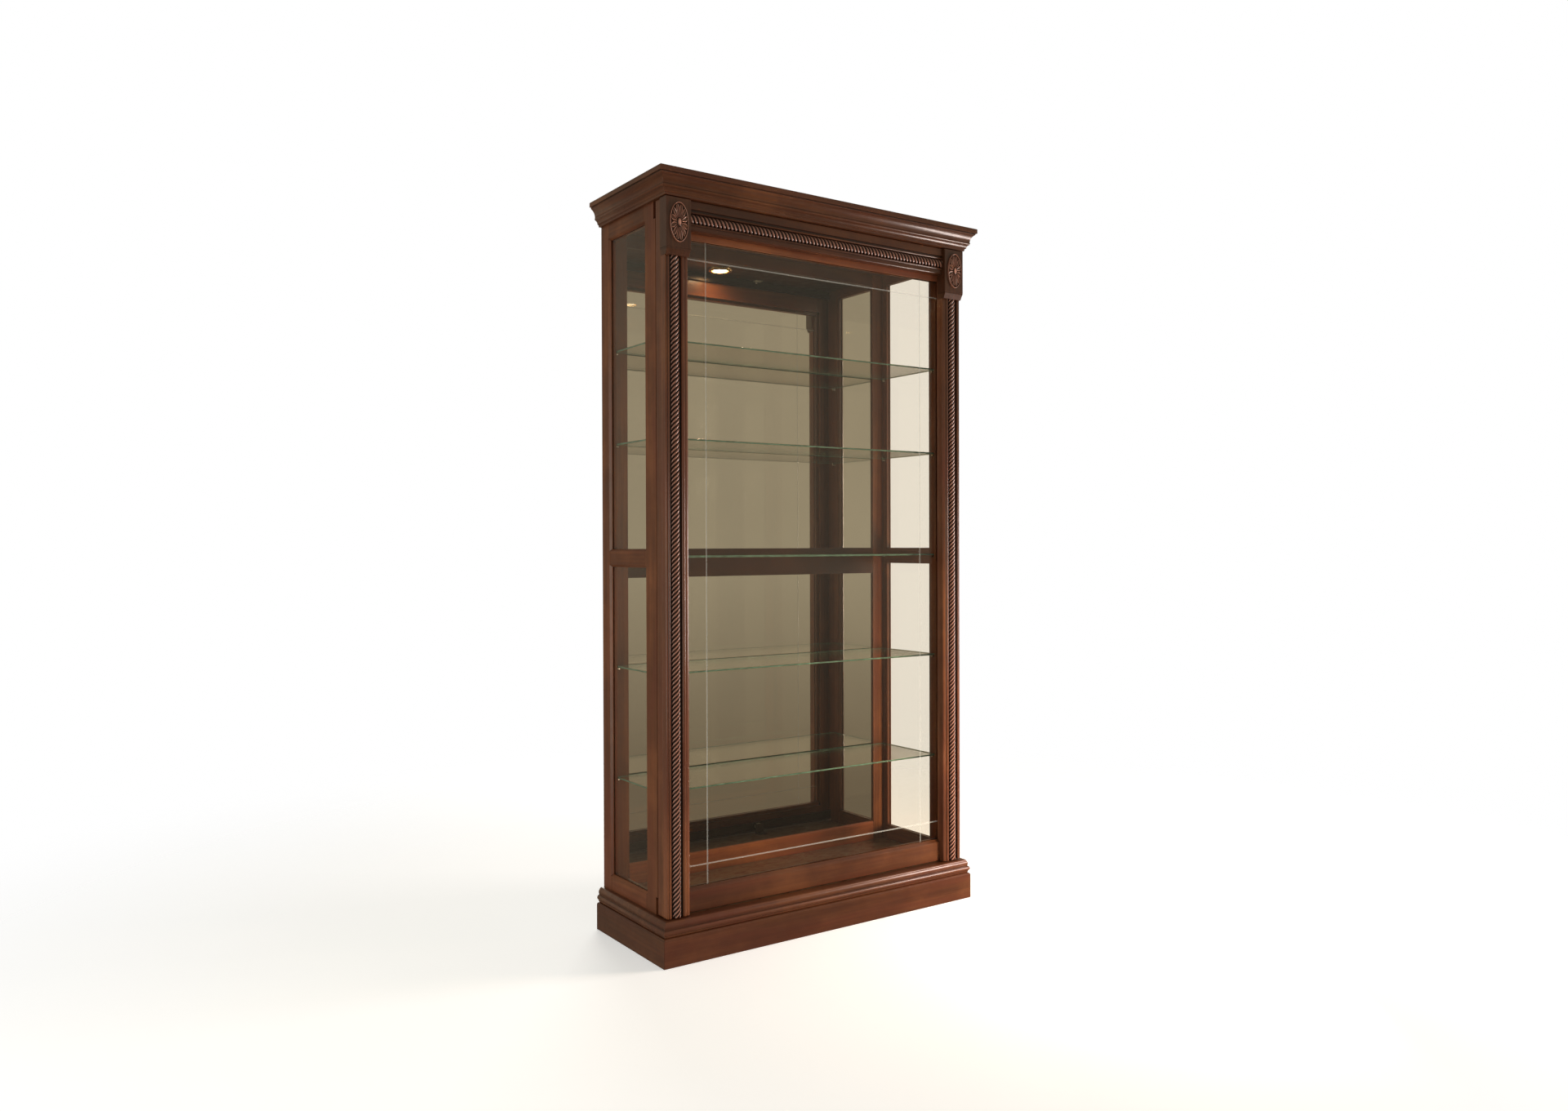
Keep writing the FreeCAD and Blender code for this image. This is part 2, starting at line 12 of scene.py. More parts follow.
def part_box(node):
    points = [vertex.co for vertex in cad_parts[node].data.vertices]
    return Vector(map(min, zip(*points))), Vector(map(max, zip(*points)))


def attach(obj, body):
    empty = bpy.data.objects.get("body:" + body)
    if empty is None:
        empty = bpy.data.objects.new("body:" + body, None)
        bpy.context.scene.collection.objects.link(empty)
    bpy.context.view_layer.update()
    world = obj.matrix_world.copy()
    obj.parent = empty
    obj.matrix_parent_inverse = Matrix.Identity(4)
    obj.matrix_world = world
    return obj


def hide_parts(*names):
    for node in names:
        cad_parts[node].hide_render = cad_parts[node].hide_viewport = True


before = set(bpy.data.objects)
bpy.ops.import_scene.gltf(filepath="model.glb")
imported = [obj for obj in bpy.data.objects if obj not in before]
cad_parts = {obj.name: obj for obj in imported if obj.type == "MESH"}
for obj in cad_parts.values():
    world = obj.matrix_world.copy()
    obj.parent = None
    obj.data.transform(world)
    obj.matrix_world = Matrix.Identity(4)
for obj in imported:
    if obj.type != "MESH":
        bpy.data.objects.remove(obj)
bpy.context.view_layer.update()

bl_info = {
    "name": "Curio Cabinet",
    "version": (1, 0, 0),
    "blender": (4, 5, 0),
    "location": "View3D > Sidebar > Cabinet",
    "description": "Finishes, carvings, glass and lights for a curio cabinet with a sliding glass front",
    "category": "Object",
}

# Boards by the way their grain runs, and by how they are lacquered.
GRAIN_UP = {
    "case": ["side_front_stile_left", "side_front_stile_right", "side_rear_stile_left", "side_rear_stile_right",
             "back_stile_left", "back_stile_right"],
    "door": ["door_stile_left", "door_stile_right"],
    "carved": ["pilaster_left", "pilaster_right", "corner_blocks"],
}
GRAIN_ACROSS = {
    "case": ["back_bottom_rail", "back_mid_rail", "back_top_rail"],
    "moulding": ["crown_front", "plinth_front", "plinth_back", "base_moulding", "top_board"],
    "door": ["door_top_rail", "door_bottom_rail", "frieze"],
}
GRAIN_DEEP = {
    "case": ["side_bottom_rail_left", "side_bottom_rail_right", "side_mid_rail_left", "side_mid_rail_right",
             "side_top_rail_left", "side_top_rail_right"],
    "moulding": ["crown_sides", "plinth_sides"],
}

# How dark or pale a board is beside the middle tone, and how much gloss its kind has.
PLAIN_TONE = 0.92
BOARD_TONES_AND_LIGHT = {
    "top_board": 0.7, "crown_front": 0.72, "crown_sides": 0.76, "plinth_front": 0.58, "plinth_sides": 0.58,
    # Painted light and shade, not stain: the back top and middle rails are darker as painted shade, the back bottom
    # rail and the door's top rail paler as painted light, and the left pilaster paler than the right.
    "base_moulding": 0.66, "back_top_rail": 0.40, "back_mid_rail": 0.28, "back_bottom_rail": 1.9,
    "corner_blocks": 0.49, "pilaster_left": 1.02, "pilaster_right": 0.90, "frieze": 0.55, "door_top_rail": 1.35,
    "door_bottom_rail": 0.62,
}
BOARD_GLOSS = {"case": 0.10, "moulding": 0.35, "door": 0.35, "carved": 0.45}

# Edge rounding of thin veneered boards, of glass and lamp parts, and of small metal and nylon parts, in metres.
THIN_EDGE = 0.0006
GLASS_EDGE = 0.0005
GEAR_EDGE = 0.0003

# How far the dark glaze and painted shade reach past a carving's seat, and the soft width of their border, in
# metres.
GLAZE_AND_SHADE_REACH = 0.0015
GLAZE_AND_SHADE_FADE = 0.0006

# How far the darkened channel of a pilaster, glaze and painted shade, reaches past its rope on each side, and how
# far into the board every seat goes, in metres.
CHANNEL_SIDE = 0.005
SEAT_DEPTH = 0.01

# How far a strand climbs for each radian round its rope, in metres.
PILASTER_TWIST = 0.0102
FRIEZE_TWIST = 0.0052

# The lamp: how far its lens starts above the bulb's lowest point, how far it stays above the trim's lower face, the
# width of the light it throws and how far below the trim that starts, in metres.
LENS_RISE = 0.004
LENS_CLEAR = 0.0015
LAMP_LIGHT_WIDTH = 0.045
LAMP_LIGHT_DROP = 0.001

# Shares of a rosette's radius: its middle dome, the groove round that, the petals' tips and the raised rim.
DOME, DOME_GROOVE, PETAL_TIP, RIM = 0.22, 0.25, 0.915, 0.95

# The lights: name, setting that holds the power, place, target, width and height, colour, seen in reflections.
LIGHTS = (
    ("key_light", "key_watts", (3.05, -1.15, 1.05), (0.0, 0.0, 1.0), (0.7, 1.4), (1.0, 0.86, 0.80), True),
    ("side_light", "side_watts", (1.05, -0.95, 0.32), (0.0, -0.1, 0.25), (0.30, 0.60), (1.0, 0.78, 0.56), False),
    ("back_light", "back_watts", (1.8, 4.2, 2.6), (0.0, 0.2, 0.9), (2.4, 2.4), (1.0, 0.96, 0.90), True),
    ("fill_light", "fill_watts", (-3.4, -0.9, 0.9), (0.0, 0.0, 0.7), (2.2, 2.4), (1.0, 0.93, 0.80), True),
)

# The camera: place in metres, turns in degrees, lens and sensor width in millimetres.
CAMERA_PLACE = (-1.9791, -2.8092, 1.0894)
CAMERA_YAW, CAMERA_PITCH, CAMERA_ROLL = 34.745, -0.506, 0.169
CAMERA_LENS = 26.74
CAMERA_SENSOR = 36.0

# The floor: its radius and how far out it starts to fade, in metres, and how brightly it glows.
FLOOR_RADIUS = 3.2
FLOOR_FADE_FROM = 0.9
FLOOR_GLOW = 0.42

# Colour of the room on the far side, seen through the side glass and in its reflections.
ROOM_BEHIND = (0.30, 0.27, 0.205)


# ---------------------------------------------------------------- sizes and colours a user would change

class CabinetWoodSettings(bpy.types.PropertyGroup):
    stain: FloatVectorProperty(
        name="Stain", description="Middle tone of the stained cherry", subtype="COLOR", size=3,
        default=(0.128, 0.042, 0.0165), min=0, max=1)
    stain_dark: FloatVectorProperty(
        name="Dark grain", description="Tone of the dark growth lines and pores", subtype="COLOR", size=3,
        default=(0.050, 0.0160, 0.0080), min=0, max=1)
    stain_light: FloatVectorProperty(
        name="Light grain", description="Tone of the pale wood between growth lines", subtype="COLOR", size=3,
        default=(0.205, 0.074, 0.0275), min=0, max=1)
    stain_red: FloatVectorProperty(
        name="Red patches", description="Tone of the redder patches in the stain", subtype="COLOR", size=3,
        default=(0.118, 0.0290, 0.0165), min=0, max=1)
    # Grey-brown mottling of the deck, partly burl veneer and partly painted reflection.
    burl_and_reflection: FloatVectorProperty(
        name="Burl", description="Pale mottling of the veneer on the deck", subtype="COLOR", size=3,
        default=(0.150, 0.116, 0.080), min=0, max=1)
    # Dark glaze, also used as painted shade in grooves, hollows and carving seats.
    glaze_and_shade: FloatVectorProperty(
        name="Glaze", description="Dark glaze left in grooves and carving", subtype="COLOR", size=3,
        default=(0.010, 0.0048, 0.0038), min=0, max=1)
    # Paler crests of the carving, partly rubbed wear and partly painted highlight.
    rubbed_and_highlight: FloatVectorProperty(
        name="Rubbed crest", description="Paler tone on the crests of the carving", subtype="COLOR", size=3,
        default=(0.54, 0.265, 0.210), min=0, max=1)
    edge_round: FloatProperty(
        name="Edge rounding", description="Width of the sanded edge on each board", subtype="DISTANCE",
        unit="LENGTH", default=0.0009, min=0.0001, max=0.003)
    lacquer_roughness: FloatProperty(
        name="Lacquer roughness", description="Roughness of the satin lacquer", subtype="FACTOR",
        default=0.16, min=0.02, max=0.6)


class CabinetCarvingSettings(bpy.types.PropertyGroup):
    strand_pitch: FloatProperty(
        name="Strand pitch", description="Distance between neighbouring strands along a rope", subtype="DISTANCE",
        unit="LENGTH", default=0.0123, min=0.004, max=0.03)
    rope_half_width: FloatProperty(
        name="Rope half width", description="Half of a rope's width", subtype="DISTANCE", unit="LENGTH",
        default=0.0125, min=0.004, max=0.03)
    deep_groove: FloatProperty(
        name="Deep groove", description="Depth of every second groove, as a share of the rope's radius",
        subtype="FACTOR", default=0.52, min=0, max=0.8)
    shallow_groove: FloatProperty(
        name="Shallow groove", description="Depth of the grooves between the deep ones, as a share of the radius",
        subtype="FACTOR", default=0.38, min=0, max=0.8)
    rosette_half_width: FloatProperty(
        name="Rosette half width", description="Half of an oval flower's width", subtype="DISTANCE", unit="LENGTH",
        default=0.027, min=0.01, max=0.035)
    petals: IntProperty(name="Petals", description="Petals on each rosette", default=12, min=6, max=24)


class CabinetGlassSettings(bpy.types.PropertyGroup):
    pane_tint: FloatVectorProperty(
        name="Pane tint", description="Light that one face of a pane lets through", subtype="COLOR", size=3,
        default=(0.972, 0.950, 0.908), min=0, max=1)
    edge_green: FloatVectorProperty(
        name="Edge green", description="Colour of a polished glass edge", subtype="COLOR", size=3,
        default=(0.085, 0.165, 0.128), min=0, max=1)
    silver: FloatVectorProperty(
        name="Silvering", description="Colour of the mirrors", subtype="COLOR", size=3,
        default=(0.80, 0.80, 0.76), min=0, max=1)


class CabinetLampSettings(bpy.types.PropertyGroup):
    glow: FloatVectorProperty(
        name="Glow", description="Colour of the lamp's light", subtype="COLOR", size=3,
        default=(1.0, 0.76, 0.48), min=0, max=1)
    lens_strength: FloatProperty(
        name="Lens strength", description="How brightly the lamp's lens shines", default=45.0, min=0, max=200)
    watts: FloatProperty(
        name="Watts", description="Light that the lamp throws down on the shelves", unit="POWER",
        default=0.30, min=0, max=60)


class CabinetStageSettings(bpy.types.PropertyGroup):
    key_watts: FloatProperty(
        name="Key light", description="Power of the light at the cabinet's right", unit="POWER",
        default=62.0, min=0, max=5000)
    side_watts: FloatProperty(
        name="Side light", description="Power of the low light close to the cabinet's right", unit="POWER",
        default=30.0, min=0, max=5000)
    fill_watts: FloatProperty(
        name="Fill light", description="Power of the soft light at the cabinet's left", unit="POWER",
        default=54.0, min=0, max=5000)
    back_watts: FloatProperty(
        name="Back light", description="Power of the soft light behind the cabinet", unit="POWER",
        default=90.0, min=0, max=5000)
    room: FloatVectorProperty(
        name="Room", description="Colour of the room in front, as the mirrors show it", subtype="COLOR", size=3,
        default=(0.405, 0.362, 0.278), min=0, max=1)
    ground: FloatVectorProperty(
        name="Ground", description="Colour of the room's own floor, as the mirrors show it", subtype="COLOR", size=3,
        default=(0.20, 0.165, 0.120), min=0, max=1)
    floor: FloatVectorProperty(
        name="Floor", description="Colour of the floor", subtype="COLOR", size=3,
        default=(0.86, 0.89, 0.93), min=0, max=1)


# ---------------------------------------------------------------- node helpers

class Recipe:
    """A material's node tree, built a node at a time. Values are set, sockets are linked."""

    def __init__(self, name, tree=None):
        self.material = None
        if tree is None:
            self.material = bpy.data.materials.new(name)
            self.material.use_nodes = True
            tree = self.material.node_tree
        self.tree = tree
        tree.nodes.clear()

    def add(self, kind, sockets=None, **settings):
        node = self.tree.nodes.new("ShaderNode" + kind)
        for key, value in settings.items():
            setattr(node, key, value)
        for key, value in (sockets or {}).items():
            socket = node.inputs[key]
            if isinstance(value, bpy.types.NodeSocket):
                self.tree.links.new(value, socket)
            else:
                socket.default_value = value
        return node

    def place(self):
        return self.add("TexCoord").outputs["Object"]

    def moved(self, vector, location=(0, 0, 0), scale=(1, 1, 1)):
        return self.add("Mapping", {"Vector": vector, "Location": location, "Scale": scale}).outputs["Vector"]

    def grained(self, vector, along, lengthwise, across):
        """The place on a board, squeezed differently along its grain and across it."""
        return self.moved(vector, scale=tuple(lengthwise if i == along else across for i in range(3)))

    def noise(self, vector, scale, detail=3.0, roughness=0.5, distortion=0.0):
        return self.add("TexNoise", {"Vector": vector, "Scale": scale, "Detail": detail, "Roughness": roughness,
                                     "Distortion": distortion}).outputs["Fac"]

    def range(self, value, low, high, to_low=0.0, to_high=1.0):
        return self.add("MapRange", {"Value": value, "From Min": low, "From Max": high, "To Min": to_low,
                                     "To Max": to_high}).outputs["Result"]

    def math(self, operation, a, b=0.0):
        return self.add("Math", {0: a, 1: b}, operation=operation).outputs[0]

    def mix(self, factor, a, b):
        node = self.add("Mix", {0: factor}, data_type="RGBA")
        for index, value in ((6, a), (7, b)):
            if isinstance(value, bpy.types.NodeSocket):
                self.tree.links.new(value, node.inputs[index])
            else:
                node.inputs[index].default_value = (*value, 1.0)[:4]
        return node.outputs[2]

    def bump(self, height, strength, distance):
        return self.add("Bump", {"Height": height, "Strength": strength, "Distance": distance}).outputs["Normal"]

    def glance(self):
        """The share of light that clear glass or lacquer throws back, more of it the flatter it is looked along."""
        facing = self.add("LayerWeight", {"Blend": 0.5}).outputs["Facing"]
        return self.range(self.math("POWER", facing, 5.0), 0.0, 1.0, 0.04, 0.96)

    def flatness(self, axis):
        """How squarely a face looks along an axis, from 0 to 1."""
        normal = self.add("TexCoord").outputs["Normal"]
        part = self.add("SeparateXYZ", {"Vector": normal}).outputs["XYZ".index(axis)]
        return self.math("ABSOLUTE", part)

    def finish(self, shader):
        """Ends the tree of a material, or of the world when there is none."""
        self.add("OutputMaterial" if self.material else "OutputWorld", {"Surface": shader})
        return self.material


def rgba(colour):
    return (colour[0], colour[1], colour[2], 1.0)


def shade(colour, factor):
    return tuple(min(1.0, c * factor) for c in colour[:3])


# ---------------------------------------------------------------- wood

def seat_glaze_and_shade(mat, recess):
    """Where on a board a carving is seated, from 0 to 1. recess gives the lowest and highest place on each axis,
    and the place across the cabinet counts from its middle, so that both sides match."""
    inside = None
    for index, (low, high) in recess.items():
        part = mat.add("SeparateXYZ", {"Vector": mat.place()}).outputs[index]
        part = mat.math("ABSOLUTE", part) if index == 0 else part
        both = mat.math("MULTIPLY", mat.range(part, low - GLAZE_AND_SHADE_FADE, low + GLAZE_AND_SHADE_FADE),
                        mat.range(part, high + GLAZE_AND_SHADE_FADE, high - GLAZE_AND_SHADE_FADE))
        inside = both if inside is None else mat.math("MULTIPLY", inside, both)
    return inside


def stained_cherry(name, grain, seed, tone, glaze_and_shade=True, cavity=False, figure=1.0, recess=None, gloss=0.35,
                   burl_and_reflection=False):
    """Stained cherry under satin lacquer, with its grain along one axis, dark glaze and painted shade in its grooves
    and hollows, and on carving paler crests that are partly rubbed wear and partly painted highlight.
    """
    wood = bpy.context.scene.cabinet_wood
    mat = Recipe(name)
    along = "XYZ".index(grain)
    shift = (seed * 0.37 % 3.0, seed * 0.71 % 3.0, seed * 0.53 % 3.0)
    place = mat.moved(mat.place(), location=shift)
    board = mat.grained(place, along, 1.0, 11.0)

    figure_noise = mat.noise(board, 1.6, detail=5.0, roughness=0.6, distortion=0.6)
    lines = mat.add("TexWave", {"Vector": board, "Scale": 2.1, "Distortion": 9.0, "Detail": 4.0, "Detail Scale": 0.9,
                                "Detail Roughness": 0.65}, wave_type="BANDS",
                    bands_direction="XYZ"[(along + 1) % 3], wave_profile="SIN").outputs["Fac"]
    pores = mat.noise(mat.grained(place, along, 7.0, 420.0), 1.0, detail=3.0, roughness=0.65)
    streaks = mat.noise(mat.grained(place, along, 1.6, 85.0), 1.0, detail=4.0, roughness=0.6, distortion=0.3)
    patches = mat.noise(place, 4.5, detail=5.0, roughness=0.62)
    warmth = mat.noise(mat.grained(place, along, 0.8, 6.0), 2.4, detail=4.0, roughness=0.6, distortion=0.5)

    light, mid, dark = (shade(c, tone) for c in (wood.stain_light, wood.stain, wood.stain_dark))
    colour = mat.mix(mat.range(figure_noise, 0.40, 0.80, 0.0, 0.75), mid, light)
    colour = mat.mix(mat.range(lines, 0.45, 1.0, 0.0, 0.32 * figure), colour, dark)
    colour = mat.mix(mat.range(streaks, 0.42, 0.75, 0.0, 0.55), colour, dark)
    colour = mat.mix(mat.range(streaks, 0.44, 0.25, 0.0, 0.40), colour, light)
    colour = mat.mix(mat.range(pores, 0.54, 0.74, 0.0, 0.55), colour, dark)
    colour = mat.mix(mat.range(patches, 0.40, 0.70, 0.0, 0.60), colour, dark)
    colour = mat.mix(mat.range(patches, 0.46, 0.26, 0.0, 0.45), colour, light)
    colour = mat.mix(mat.range(warmth, 0.46, 0.70, 0.0, 0.60), colour, shade(wood.stain_red, tone))
    # Grey-brown mottling, partly burl veneer and partly painted reflection.
    if burl_and_reflection:
        knots = mat.noise(mat.grained(place, along, 1.0, 2.6), 22.0, detail=6.0, roughness=0.68, distortion=1.2)
        colour = mat.mix(mat.range(knots, 0.42, 0.58, 0.30, 0.97), colour, wood.burl_and_reflection)
        colour = mat.mix(mat.range(knots, 0.46, 0.38, 0.0, 0.95), colour, dark)
    # Dark glaze and painted shade, strongest where ambient occlusion finds a point most enclosed.
    if glaze_and_shade:
        hollow = mat.add("AmbientOcclusion", {"Distance": 0.012}, samples=8, only_local=True).outputs["AO"]
        colour = mat.mix(mat.range(hollow, 0.96, 0.55, 0.0, 0.93), colour, wood.glaze_and_shade)
    # Dark glaze and painted shade in the seat of a carving: the pilasters' rope channel and the frieze's rope
    # groove.
    if recess:
        colour = mat.mix(mat.math("MULTIPLY", seat_glaze_and_shade(mat, recess), 0.90), colour, wood.glaze_and_shade)
    # Carving: crests paler, partly rubbed wear and partly painted highlight; grooves dark with glaze and painted
    # shade, and their lacquer shine taken out as well.
    if cavity:
        deep = mat.add("Attribute", attribute_name="cavity").outputs["Fac"]
        colour = mat.mix(mat.range(deep, 0.08, 0.0, 0.0, 0.90), colour, shade(wood.rubbed_and_highlight, tone))
        colour = mat.mix(mat.range(deep, 0.05, 0.32, 0.0, 0.98), colour, wood.glaze_and_shade)
        gloss = mat.range(deep, 0.02, 0.30, gloss, 0.0)

    roughness = mat.range(mat.noise(place, 38.0, detail=3.0), 0.3, 0.7, 0.30, 0.42)
    if cavity:
        roughness = mat.math("MAXIMUM", roughness, mat.range(deep, 0.05, 0.30, 0.0, 0.75))
    height = mat.math("ADD", mat.math("MULTIPLY", pores, 0.6), mat.math("MULTIPLY", figure_noise, 0.4))
    normal = mat.bump(height, 0.22, 0.0004)
    ripple = mat.bump(mat.noise(place, 26.0, detail=2.0), 0.05, 0.002)
    shader = mat.add("BsdfPrincipled", {
        "Base Color": colour, "Roughness": roughness, "Normal": normal, "Coat Normal": ripple,
        "Coat Weight": gloss, "Coat Roughness": wood.lacquer_roughness, "Coat IOR": 1.5, "IOR": 1.48,
        "Specular IOR Level": 0.30})
    return mat.finish(shader.outputs[0])


def fibreboard(name):
    """Brown pressed board with fine specks, for the backs behind the mirrors."""
    mat = Recipe(name)
    place = mat.place()
    fleck = mat.noise(place, 420.0, detail=4.0, roughness=0.7)
    cloud = mat.noise(place, 7.0, detail=4.0)
    colour = mat.mix(mat.range(cloud, 0.3, 0.7), (0.150, 0.092, 0.052), (0.205, 0.130, 0.076))
    colour = mat.mix(mat.range(fleck, 0.48, 0.68, 0.0, 0.6), colour, (0.070, 0.040, 0.022))
    shader = mat.add("BsdfPrincipled", {
        "Base Color": colour, "Roughness": mat.range(fleck, 0.3, 0.7, 0.62, 0.85),
        "Normal": mat.bump(fleck, 0.35, 0.0004)})
    return mat.finish(shader.outputs[0])


def round_edges(node_name, width, segments=2, angle=28.0):
    """Sanded edges, as modifiers, so the CAD mesh stays as it is."""
    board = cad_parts[node_name]
    weld = board.modifiers.new("join_faces", "WELD")
    weld.merge_threshold = 0.00001
    flat = board.modifiers.new("whole_faces", "DECIMATE")
    flat.decimate_type = "DISSOLVE"
    flat.angle_limit = math.radians(0.5)
    edge = board.modifiers.new("sanded_edges", "BEVEL")
    edge.width = width
    edge.segments = segments
    edge.limit_method = "ANGLE"
    edge.angle_limit = math.radians(angle)
    edge.use_clamp_overlap = True
    edge.harden_normals = True


def dress(node_name, material):
    """Puts one material on every slot of a CAD node's object."""
    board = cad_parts[node_name]
    if not board.material_slots:
        board.data.materials.append(material)
    for place in board.material_slots:
        place.material = material


def finish_boards(boards, kinds, grain, first_seed, recesses=None):
    """Stains each board of the given kinds with grain of its own and rounds its edges."""
    width = bpy.context.scene.cabinet_wood.edge_round
    seed = first_seed
    for kind in kinds:
        for name in boards[kind]:
            seed += 1
            dress(name, stained_cherry("cherry_" + name, grain, seed, BOARD_TONES_AND_LIGHT.get(name, PLAIN_TONE),
                                       recess=(recesses or {}).get(name), gloss=BOARD_GLOSS[kind]))
            round_edges(name, width)


class CABINET_OT_case_boards(bpy.types.Operator):
    """Stain and lacquer the fixed case: stiles, rails, crown, plinth, deck and ceiling"""
    bl_idname = "cabinet.case_boards"
    bl_label = "Case Boards"

    def execute(self, context):
        finish_boards(GRAIN_UP, ("case",), "Z", 10)
        finish_boards(GRAIN_ACROSS, ("case", "moulding"), "X", 30)
        finish_boards(GRAIN_DEEP, ("case", "moulding"), "Y", 50)
        # The ceiling's dark tone is painted shade.
        for name, seed, tone, gloss, burl_and_reflection in (("deck_board", 71, 1.3, 1.0, True),
                                              ("ceiling_panel", 72, 0.38, 0.35, False)):
            dress(name, stained_cherry("veneer_" + name, "X", seed, tone, glaze_and_shade=False, figure=1.8, gloss=gloss,
                                       burl_and_reflection=burl_and_reflection))
            round_edges(name, THIN_EDGE)
        dress("back_panels", fibreboard("backing_board"))
        round_edges("back_panels", THIN_EDGE)
        return {"FINISHED"}


class CABINET_OT_door_boards(bpy.types.Operator):
    """Stain and lacquer the sliding door: stiles, rails, frieze, pilasters and corner blocks"""
    bl_idname = "cabinet.door_boards"
    bl_label = "Door Boards"

    def execute(self, context):
        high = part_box("pilaster_ropes")[1]
        half = context.scene.cabinet_carving.rope_half_width
        centre, back = high[0] - half, high[1]
        channel = {0: (centre - half - CHANNEL_SIDE, centre + half + CHANNEL_SIDE),
                   1: (back - GLAZE_AND_SHADE_REACH, back + SEAT_DEPTH)}
        finish_boards(GRAIN_UP, ("door", "carved"), "Z", 110, {"pilaster_left": channel, "pilaster_right": channel})
        low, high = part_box("frieze_rope")
        seat = {2: (low[2] - GLAZE_AND_SHADE_REACH, high[2] + GLAZE_AND_SHADE_REACH), 1: (high[1] - GLAZE_AND_SHADE_REACH, high[1] + SEAT_DEPTH)}
        finish_boards(GRAIN_ACROSS, ("door",), "X", 130, {"frieze": seat})
        return {"FINISHED"}


class CABINET_OT_glazing_stops(bpy.types.Operator):
    """Stain the thin strips that hold the glass in the door and the sides"""
    bl_idname = "cabinet.glazing_stops"
    bl_label = "Glazing Stops"

    def execute(self, context):
        for name, finish, seed in (("door_glass_stops", "cherry_door_stops", 151),
                                   ("side_pane_stops", "cherry_pane_stops", 152)):
            dress(name, stained_cherry(finish, "Z", seed, tone=0.8, figure=0.6))
            round_edges(name, THIN_EDGE)
        return {"FINISHED"}


# ---------------------------------------------------------------- carving

def finished_mesh(name, mesh):
    """Turns a built bmesh, its faces all looking outwards, into a named mesh."""
    bmesh.ops.recalc_face_normals(mesh, faces=mesh.faces[:])
    data = bpy.data.meshes.new(name)
    mesh.to_mesh(data)
    mesh.free()
    return data


def new_piece(name, mesh, material, body):
    """Makes a shown piece from a mesh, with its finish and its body."""
    mesh.materials.append(material)
    for face in mesh.polygons:
        face.use_smooth = True
    piece = bpy.data.objects.new(name, mesh)
    bpy.context.scene.collection.objects.link(piece)
    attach(piece, body)
    return piece


def rope_mesh(name, length, half_width, rise, turn, carving):
    """A half rope lying on its back along +Z from 0, its crown towards -Y. Rows of points follow the strands, so
    every groove is a clean line. turn is how far a strand climbs per radian round the rope."""
    columns, rows = 14, 8
    pitch = carving.strand_pitch
    spare = abs(turn) * math.pi / 2 + pitch
    low = math.floor(-spare / pitch)
    high = math.ceil((length + spare) / pitch)
    mesh = bmesh.new()
    layer = mesh.verts.layers.float.new("cavity")
    grid = []
    for strand in range(low, high):
        ends = [carving.deep_groove if (strand + side) % 2 == 0 else carving.shallow_groove for side in (0, 1)]
        for row in range(rows):
            across = 0.5 - 0.5 * math.cos(math.pi * row / rows)
            bulge = math.sqrt(max(0.0, 1.0 - (2.0 * across - 1.0) ** 2)) ** 0.9
            depth = (ends[0] * (1.0 - across) + ends[1] * across) * (1.0 - bulge)
            line = []
            for column in range(columns + 1):
                angle = math.pi * (column / columns - 0.5)
                reach = 1.0 - depth * (0.85 + 0.15 * math.cos(angle))
                point = mesh.verts.new((half_width * reach * math.sin(angle), -rise * reach * math.cos(angle),
                                        (strand + across) * pitch + turn * angle))
                # How deep the point sits in a groove, which the finish turns into glaze, painted shade and, on the
                # crests, painted highlight.
                point[layer] = min(1.0, depth / carving.deep_groove)
                line.append(point)
            grid.append(line)
    for lower, upper in zip(grid, grid[1:]):
        for column in range(columns):
            mesh.faces.new((lower[column], lower[column + 1], upper[column + 1], upper[column]))
        mesh.faces.new((lower[columns], lower[0], upper[0], upper[columns]))
    mesh.faces.new(list(reversed(grid[0])))
    mesh.faces.new(grid[-1])
    for height, way in ((0.0, -1.0), (length, 1.0)):
        everything = mesh.verts[:] + mesh.edges[:] + mesh.faces[:]
        cut = bmesh.ops.bisect_plane(mesh, geom=everything, plane_co=(0, 0, height), plane_no=(0, 0, way),
                                     clear_outer=True)
        rim = [e for e in cut["geom_cut"] if isinstance(e, bmesh.types.BMEdge)]
        bmesh.ops.holes_fill(mesh, edges=rim, sides=0)
    return finished_mesh(name, mesh)


class CABINET_OT_ropes(bpy.types.Operator):
    """Carve the twisted ropes of the two pilasters and of the frieze"""
    bl_idname = "cabinet.ropes"
    bl_label = "Twisted Ropes"

    def execute(self, context):
        carving = context.scene.cabinet_carving
        low, high = (Vector(c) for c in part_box("pilaster_ropes"))
        half = carving.rope_half_width
        rise = high.y - low.y
        finish = stained_cherry("carved_rope", "Z", 161, tone=0.66, glaze_and_shade=False, cavity=True, figure=0.4, gloss=1.0)
        for name, centre in (("rope_left", low.x + half), ("rope_right", high.x - half)):
            mesh = rope_mesh(name, high.z - low.z, half, rise, PILASTER_TWIST, carving)
            mesh.transform(Matrix.Translation((centre, high.y, low.z)))
            rope = new_piece(name, mesh, finish, "door")
            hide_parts("pilaster_ropes")
        low, high = (Vector(c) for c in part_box("frieze_rope"))
        finish = stained_cherry("carved_rope_top", "X", 162, tone=0.6, glaze_and_shade=False, cavity=True, figure=0.4,
                                gloss=0.8)
        mesh = rope_mesh("rope_top", high.x - low.x, (high.z - low.z) / 2, high.y - low.y, FRIEZE_TWIST, carving)
        mesh.transform(Matrix.Rotation(math.radians(90), 4, "Y"))
        mesh.transform(Matrix.Translation((low.x, high.y, (low.z + high.z) / 2)))
        rope = new_piece("rope_top", mesh, finish, "door")
        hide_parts("frieze_rope")
        return {"FINISHED"}


